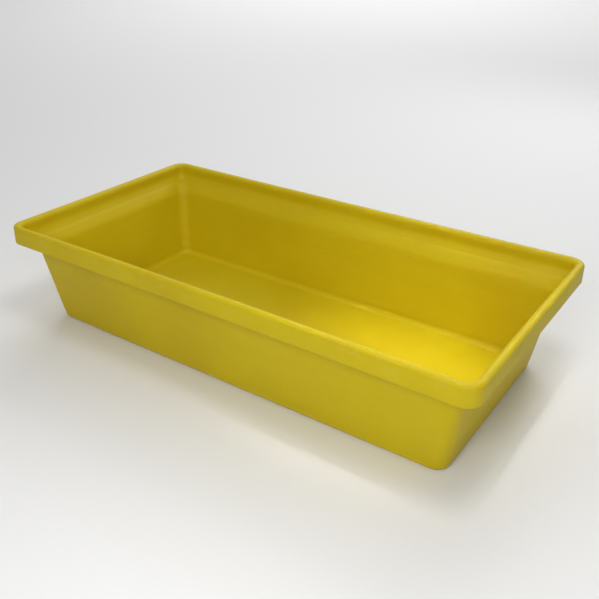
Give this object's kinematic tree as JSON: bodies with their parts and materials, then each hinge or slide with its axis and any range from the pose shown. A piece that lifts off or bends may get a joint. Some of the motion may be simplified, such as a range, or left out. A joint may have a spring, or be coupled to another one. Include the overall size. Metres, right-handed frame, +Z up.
{
  "type": "spill containment tray",
  "caption": "Shallow open spill tray: rectangular sump with drafted walls and rounded corners, under a folded-down rim to lift it by.",
  "frame": {"origin": "middle of the underside, on the surface the tray stands on", "axes": "+X along the tray's length, +Y across it towards the back long wall, +Z up"},
  "size_m": [0.8, 0.41, 0.17],
  "materials": {
    "polyethylene": "satin, self-coloured yellow with a fine moulded texture"
  },
  "bodies": {
    "root": {"sump_basin": "polyethylene", "folded_rim": "polyethylene"}
  },
  "joints": []
}
